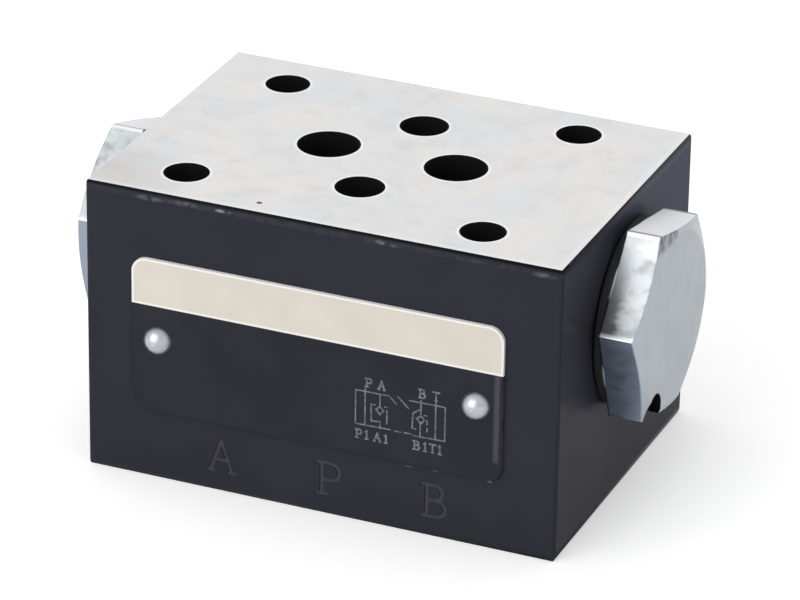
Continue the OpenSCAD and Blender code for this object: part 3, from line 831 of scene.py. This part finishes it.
def support_finish(colours):
    """Ivory plastic with faint clouds."""
    finish = Finish("support_ring_finish", roughness=0.45)
    cloud = finish.noise(1.5 * MM, 3)
    finish.surface("Base Color", finish.mix(
        finish.spread(cloud), colours.support, toned(colours.support, 0.9)))
    finish.bump(finish.noise(0.3 * MM, 2), 0.008 * MM)
    return finish


def print_finish(colours):
    """Grey print with patches rubbed off."""
    finish = Finish("plate_print_finish", roughness=0.6)
    wear = finish.noise(0.5 * MM, 3)
    finish.surface("Base Color", finish.mix(
        finish.rise(wear, 0.35, 0.7, 0.0, 0.75), colours.print_grey, colours.field))
    return finish


def new_piece(name, mesh, finish, body):
    """Put a mesh in the scene as a piece that rides on a body."""
    piece = bpy.data.objects.new(name, mesh)
    bpy.context.scene.collection.objects.link(piece)
    mesh.materials.append(finish.material)
    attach(piece, body)
    return piece


def mesh_of(name, shape):
    """Mesh with the given name from a finished shape."""
    mesh = bpy.data.meshes.new(name)
    shape.to_mesh(mesh)
    shape.free()
    return mesh


def bowl(x, low, high):
    """Points of a half circle that swells to the right of an upright line."""
    radius = (high - low) / 2
    turns = [math.pi * (0.5 - step / 8) for step in range(9)]
    return [(x + radius * math.cos(turn), low + radius + radius * math.sin(turn)) for turn in turns]


# Strokes of the port letters, for a letter of height one
LETTERS = {
    "A": (
        [(0.06, 0.0), (0.40, 1.0), (0.74, 0.0)], [(0.19, 0.38), (0.61, 0.38)],
        [(0.0, 0.0), (0.14, 0.0)], [(0.64, 0.0), (0.82, 0.0)]),
    "B": (
        [(0.14, 0.0), (0.14, 1.0)], [(0.0, 1.0), *bowl(0.38, 0.53, 1.0), (0.14, 0.53)],
        [(0.14, 0.53), *bowl(0.44, 0.0, 0.53), (0.0, 0.0)]),
    "P": (
        [(0.14, 0.0), (0.14, 1.0)], [(0.0, 0.0), (0.30, 0.0)],
        [(0.0, 1.0), *bowl(0.42, 0.46, 1.0), (0.14, 0.46)]),
    "T": ([(0.0, 1.0), (0.72, 1.0)], [(0.36, 0.0), (0.36, 1.0)], [(0.24, 0.0), (0.48, 0.0)]),
    "1": ([(0.02, 0.84), (0.18, 1.0), (0.18, 0.0)], [(0.04, 0.0), (0.32, 0.0)]),
}


class Strokes:
    """Lines and letters on the front, joined into one flat outline."""

    def __init__(self):
        self.points = []
        self.bars = []

    def line(self, points, width):
        """Add a line through points of the front, as one bar for each stretch."""
        for start, end in zip(points, points[1:]):
            start = Vector(start)
            end = Vector(end)
            along = (end - start).normalized() * width / 2
            across = Vector((-along.y, along.x))
            first = len(self.points)
            self.points += [
                start - along - across, end + along - across,
                end + along + across, start - along + across]
            self.bars.append(list(range(first, first + 4)))

    def letters(self, letters, height, foot, width):
        """Add upright letters, each centred at its place along the front."""
        for letter, middle in letters:
            strokes = LETTERS[letter]
            reaches = [point[0] for stroke in strokes for point in stroke]
            start = middle - height * (min(reaches) + max(reaches)) / 2
            for stroke in strokes:
                self.line([(start + height * x, foot + height * z) for x, z in stroke], width)

    def mesh(self, name, face_y, thickness):
        """Mesh of the joined strokes, as deep before the face as behind it."""
        joined = delaunay_2d_cdt(self.points, [], self.bars, 1, 0.001 * MM)
        shape = bmesh.new()
        verts = [shape.verts.new((x, face_y - thickness / 2, z)) for x, z in joined[0]]
        for corners, bars in zip(joined[2], joined[5]):
            if bars:
                shape.faces.new([verts[corner] for corner in corners])
        spare = [vert for vert in verts if not vert.link_faces]
        bmesh.ops.delete(shape, geom=spare, context="VERTS")
        grown = bmesh.ops.extrude_face_region(shape, geom=shape.faces[:], use_keep_orig=True)
        back = [part for part in grown["geom"] if isinstance(part, bmesh.types.BMVert)]
        bmesh.ops.translate(shape, verts=back, vec=(0, thickness, 0))
        bmesh.ops.recalc_face_normals(shape, faces=shape.faces)
        return mesh_of(name, shape)


# Port letters stamped in the front, and their places along it in millimetres
PORT_STAMPS = (("A", -13.4), ("P", 1.4), ("B", 15.75))


def stamp_ports(sizes):
    """Stamp the port letters into the lower front of the body."""
    strokes = Strokes()
    places = [(letter, x * MM) for letter, x in PORT_STAMPS]
    strokes.letters(places, sizes.stamp_height, sizes.stamp_base, sizes.stamp_width)
    mesh = strokes.mesh("port_stamps", BODY_LOW.y, 2 * sizes.stamp_depth)
    cutter = bpy.data.objects.new("port_stamps", mesh)
    bpy.context.scene.collection.objects.link(cutter)
    cutter.hide_render = True
    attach(cutter, "housing")
    stamp = frame["nodes"]["valve_body"].modifiers.new("port_stamps", "BOOLEAN")
    stamp.operation = "DIFFERENCE"
    stamp.solver = "EXACT"
    stamp.object = cutter


# Lines of the valve symbol on the plate, in millimetres along and up the front
SYMBOL_LINES = (
    ((9.8, 18.75), (5.3, 18.7), (5.3, 14.0), (10.0, 14.1)),
    ((12.6, 18.7), (17.35, 18.75), (17.35, 14.05), (13.1, 13.95)),
    ((6.58, 19.1), (6.58, 14.0)),
    ((16.08, 19.2), (16.08, 14.0)),
    ((8.6, 18.75), (8.6, 16.95)),
    ((14.1, 19.0), (14.1, 17.0)),
    ((8.62, 14.6), (8.62, 14.0)),
    ((14.04, 15.5), (14.04, 13.9)),
    ((7.95, 17.15), (7.4, 17.1), (7.45, 14.8), (8.6, 14.9)),
    ((9.25, 17.1), (9.5, 17.1)),
    ((9.55, 16.6), (9.55, 14.8)),
    ((8.05, 16.55), (8.6, 15.85), (9.15, 16.55)),
    ((13.85, 17.65), (13.3, 17.25), (13.05, 17.05), (12.95, 15.0), (13.4, 14.9)),
    ((14.6, 17.05), (14.95, 17.05)),
    ((14.95, 16.4), (14.95, 15.9)),
    ((14.95, 15.3), (14.95, 14.85)),
    ((13.5, 16.45), (14.1, 15.75), (14.7, 16.45)),
    ((9.8, 18.75), (10.3, 18.3)),
    ((10.5, 18.1), (10.8, 17.8)),
    ((11.0, 18.85), (11.55, 18.4)),
    ((11.7, 18.25), (12.4, 17.6)),
    ((10.7, 14.05), (11.4, 14.05)),
    ((11.9, 14.1), (12.8, 14.1)),
)
SYMBOL_BALLS = ((8.6, 16.5), (14.1, 16.4))
BALL_SIDES = 12

# Height of the foot of each row of port letters, and the letters' places along the front
SYMBOL_NAMES = (
    (19.4, (("P", 7.0), ("A", 8.8), ("B", 14.2), ("T", 16.1))),
    (12.1, (
        ("P", 5.75), ("1", 6.85), ("A", 8.3), ("1", 9.45),
        ("B", 13.55), ("1", 14.75), ("T", 15.75), ("1", 16.7))),
)


def print_symbol(colours, sizes):
    """Print the symbol of two check valves that pilot each other, with its port letters."""
    strokes = Strokes()
    for line in SYMBOL_LINES:
        strokes.line([(x * MM, z * MM) for x, z in line], sizes.symbol_line)
    radius = sizes.symbol_ball
    turns = [2 * math.pi * step / BALL_SIDES for step in range(BALL_SIDES + 1)]
    for x, z in SYMBOL_BALLS:
        ball = [(x * MM + radius * math.cos(turn), z * MM + radius * math.sin(turn)) for turn in turns]
        strokes.line(ball, sizes.symbol_line)
    for foot, letters in SYMBOL_NAMES:
        places = [(letter, x * MM) for letter, x in letters]
        strokes.letters(places, sizes.symbol_letter, foot * MM, sizes.letter_line)
    mesh = strokes.mesh("plate_symbol", PLATE_LOW.y, sizes.print_thickness)
    new_piece("plate_symbol", mesh, print_finish(colours), "housing")


class VALVE_OT_body(bpy.types.Operator):
    """Finish the valve body."""

    bl_idname = "valve.body"
    bl_label = "Valve body"

    def execute(self, context):
        sizes = context.scene.valve_sizes
        dress("valve_body", body_finish(context.scene.valve_colours, sizes))
        stamp_ports(sizes)
        return {"FINISHED"}


class VALVE_OT_name_plate(bpy.types.Operator):
    """Finish the name plate and its pins."""

    bl_idname = "valve.name_plate"
    bl_label = "Name plate"

    def execute(self, context):
        colours = context.scene.valve_colours
        sizes = context.scene.valve_sizes
        dress("name_plate", plate_finish(colours, sizes))
        dress("name_plate_pins", pin_finish(colours))
        print_symbol(colours, sizes)
        return {"FINISHED"}


class VALVE_OT_plugs(bpy.types.Operator):
    """Finish the two end plugs."""

    bl_idname = "valve.plugs"
    bl_label = "End plugs"

    def execute(self, context):
        colours = context.scene.valve_colours
        finish = plug_finish(colours, context.scene.valve_sizes)
        for end in ENDS:
            dress(f"plug_{end}", finish)
        return {"FINISHED"}


class VALVE_OT_inner_pieces(bpy.types.Operator):
    """Finish the bushes, poppets and spool, and all the sealing rings."""

    bl_idname = "valve.inner_pieces"
    bl_label = "Inner pieces"

    def execute(self, context):
        colours = context.scene.valve_colours
        steel = steel_finish("hardened_steel_finish", tuple(colours.steel), 0.12 * MM)
        rubber = rubber_finish(colours)
        support = support_finish(colours)
        dress("control_spool", steel)
        for end in ENDS:
            dress(f"seat_bush_{end}", steel)
            dress(f"poppet_{end}", steel)
            dress(f"plug_seal_{end}", rubber)
            dress(f"bush_seal_{end}", rubber)
            dress(f"support_ring_{end}", support)
        for port in "ptab":
            dress(f"port_seal_{port}", rubber)
        return {"FINISHED"}


def wire_coil(name, low, high, coil_r, wire_r, closed, turns, side):
    """Mesh of a round wire wound along the valve axis, with a closed turn at each end."""
    sides = 14
    steps = 36
    count = turns * steps
    pitch = (high - low - 2 * closed) / (turns - 2)
    shape = bmesh.new()
    rings = []
    for step in range(count + 1):
        turn = step / steps
        if turn < 1:
            rise = turn * closed
        elif turn < turns - 1:
            rise = closed + (turn - 1) * pitch
        else:
            rise = high - low - (turns - turn) * closed
        around = 2 * math.pi * turn
        ring = []
        for corner in range(sides):
            angle = 2 * math.pi * corner / sides
            radius = coil_r + wire_r * math.cos(angle)
            along = low + rise + wire_r * math.sin(angle)
            height = AXIS_HEIGHT - side * radius * math.cos(around)
            ring.append(shape.verts.new((side * along, radius * math.sin(around), height)))
        rings.append(ring)
    for first, second in zip(rings, rings[1:]):
        for corner in range(sides):
            after = (corner + 1) % sides
            shape.faces.new((first[corner], first[after], second[after], second[corner]))
    shape.faces.new(rings[0])
    shape.faces.new(rings[-1])
    bmesh.ops.recalc_face_normals(shape, faces=shape.faces)
    for face in shape.faces:
        face.smooth = len(face.verts) == 4
    return mesh_of(name, shape)


class VALVE_OT_springs(bpy.types.Operator):
    """Wind the two poppet springs; the real ones shorten as the poppets lift, these stay fixed on the
    housing.
    """

    bl_idname = "valve.springs"
    bl_label = "Poppet springs"

    def execute(self, context):
        sizes = context.scene.valve_sizes
        finish = steel_finish(
            "spring_wire_finish", tuple(context.scene.valve_colours.spring), 0.1 * MM)
        wire_r = sizes.spring_wire / 2
        for end, side in ENDS.items():
            node = f"poppet_spring_{end}"
            corners = [Vector(corner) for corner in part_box(node)]
            reaches = sorted(abs(corner.x) for corner in corners)
            coil_r = (corners[1].z - corners[0].z) / 2 - wire_r
            mesh = wire_coil(
                f"poppet_spring_wire_{end}", reaches[0] + wire_r, reaches[1] - wire_r,
                coil_r, wire_r, sizes.spring_wire + sizes.closed_gap, sizes.spring_turns, side)
            piece = new_piece(f"poppet_spring_wire_{end}", mesh, finish, "housing")
            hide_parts(node)
            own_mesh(piece)
        return {"FINISHED"}


def add_lamp(name, place, size, power, mirrored):
    """Large square lamp that looks at the valve, and that bright metal mirrors or not."""
    data = bpy.data.lights.new(name, "AREA")
    data.shape = "SQUARE"
    data.size = size
    data.energy = power
    lamp = bpy.data.objects.new(name, data)
    lamp.location = place
    lamp.rotation_mode = "QUATERNION"
    lamp.rotation_quaternion = (LAMP_AIM - Vector(place)).to_track_quat("-Z", "Y")
    lamp.visible_glossy = mirrored
    bpy.context.scene.collection.objects.link(lamp)


def seen_directly(tree):
    """One where the camera, a reflection or a clear piece looks at the surface."""
    path = tree.nodes.new("ShaderNodeLightPath")
    result = path.outputs["Is Camera Ray"]
    for name in ("Is Glossy Ray", "Is Transmission Ray"):
        either = tree.nodes.new("ShaderNodeMath")
        either.operation = "MAXIMUM"
        tree.links.new(result, either.inputs[0])
        tree.links.new(path.outputs[name], either.inputs[1])
        result = either.outputs[0]
    return result


class VALVE_OT_stage(bpy.types.Operator):
    """Set up the camera, the lamps, the room's light and the floor."""

    bl_idname = "valve.stage"
    bl_label = "Stage"

    def execute(self, context):
        scene = context.scene
        stage = scene.valve_stage
        scene.view_settings.view_transform = "Standard"
        self.set_camera(scene, stage)
        add_lamp("key_lamp", stage.key_place, stage.key_size, stage.key_power, True)
        add_lamp("top_lamp", stage.top_place, stage.top_size, stage.top_power, False)
        self.light_room(scene, stage)
        self.lay_floor(scene, stage)
        return {"FINISHED"}

    def set_camera(self, scene, stage):
        """Camera at the viewing angle of the settings."""
        back = Vector((
            math.sin(stage.azimuth) * math.cos(stage.elevation),
            -math.cos(stage.azimuth) * math.cos(stage.elevation),
            math.sin(stage.elevation)))
        data = bpy.data.cameras.new("valve_camera")
        data.lens = stage.lens
        data.sensor_width = SENSOR_WIDTH
        data.clip_start = CLIP_START
        camera = bpy.data.objects.new("valve_camera", data)
        camera.rotation_mode = "QUATERNION"
        level = (-back).to_track_quat("-Z", "Y")
        camera.rotation_quaternion = level @ Quaternion((0, 0, 1), stage.roll)
        camera.location = Vector(stage.aim) + back * stage.distance
        scene.collection.objects.link(camera)
        scene.camera = camera

    def light_room(self, scene, stage):
        """Even room light, white where it is seen directly or in a reflection."""
        world = bpy.data.worlds.new("studio_room")
        scene.world = world
        world.use_nodes = True
        tree = world.node_tree
        background = tree.nodes["Background"]
        seen = seen_directly(tree)
        strength = tree.nodes.new("ShaderNodeMapRange")
        tree.links.new(seen, strength.inputs["Value"])
        strength.inputs["To Min"].default_value = stage.ambient
        strength.inputs["To Max"].default_value = 1.0
        tree.links.new(strength.outputs["Result"], background.inputs["Strength"])
        background.inputs["Color"].default_value = (1.0, 1.0, 1.0, 1.0)

    def lay_floor(self, scene, stage):
        """Round pale floor that keeps the valve's shadow and is clear from below."""
        shape = bmesh.new()
        bmesh.ops.create_circle(
            shape, cap_ends=True, segments=FLOOR_SIDES, radius=stage.floor_radius)
        bmesh.ops.translate(shape, verts=shape.verts, vec=(0, 0, stage.floor_height))
        mesh = mesh_of("pale_floor", shape)
        floor = bpy.data.objects.new("pale_floor", mesh)
        scene.collection.objects.link(floor)
        finish = Finish("pale_floor_finish", roughness=0.9, specular=0.1)
        colours = scene.valve_colours
        cloud = finish.noise(FLOOR_PATCH, 2)
        finish.surface("Base Color", finish.mix(cloud, colours.floor, toned(colours.floor, 0.985)))
        seen = seen_directly(finish.tree)
        finish.surface("Emission Color", (1.0, 1.0, 1.0, 1.0))
        finish.surface("Emission Strength", finish.part(seen, stage.floor_lift))
        below = finish.add("ShaderNodeNewGeometry").outputs["Backfacing"]
        sides = finish.add("ShaderNodeMixShader", Fac=below)
        finish.feed(sides.inputs[1], finish.shader.outputs["BSDF"])
        finish.feed(sides.inputs[2], finish.add("ShaderNodeBsdfTransparent").outputs["BSDF"])
        surface = finish.tree.nodes["Material Output"].inputs["Surface"]
        finish.feed(surface, sides.outputs["Shader"])
        mesh.materials.append(finish.material)


class VALVE_PT_panel(bpy.types.Panel):
    """List of the steps that dress the valve."""

    bl_idname = "VALVE_PT_panel"
    bl_label = "Sandwich valve"
    bl_space_type = "VIEW_3D"
    bl_region_type = "UI"
    bl_category = "Valve"

    def draw(self, context):
        for step in STEPS:
            self.layout.operator(step.bl_idname)


STEPS = (
    VALVE_OT_body,
    VALVE_OT_name_plate,
    VALVE_OT_plugs,
    VALVE_OT_inner_pieces,
    VALVE_OT_springs,
    VALVE_OT_stage,
)
SETTINGS = {
    "valve_colours": ValveColours,
    "valve_sizes": ValveSizes,
    "valve_stage": ValveStage,
}


def register():
    """Make the settings, the steps and the panel known to Blender."""
    for name, group in SETTINGS.items():
        bpy.utils.register_class(group)
        setattr(bpy.types.Scene, name, PointerProperty(type=group))
    for step in STEPS:
        bpy.utils.register_class(step)
    bpy.utils.register_class(VALVE_PT_panel)


def unregister():
    """Take the panel, the steps and the settings away again."""
    bpy.utils.unregister_class(VALVE_PT_panel)
    for step in reversed(STEPS):
        bpy.utils.unregister_class(step)
    for name, group in reversed(SETTINGS.items()):
        delattr(bpy.types.Scene, name)
        bpy.utils.unregister_class(group)


def main():
    """Dress the valve."""
    register()
    bpy.ops.valve.body()
    bpy.ops.valve.name_plate()
    bpy.ops.valve.plugs()
    bpy.ops.valve.inner_pieces()
    bpy.ops.valve.springs()
    bpy.ops.valve.stage()


if __name__ == "__main__":
    main()
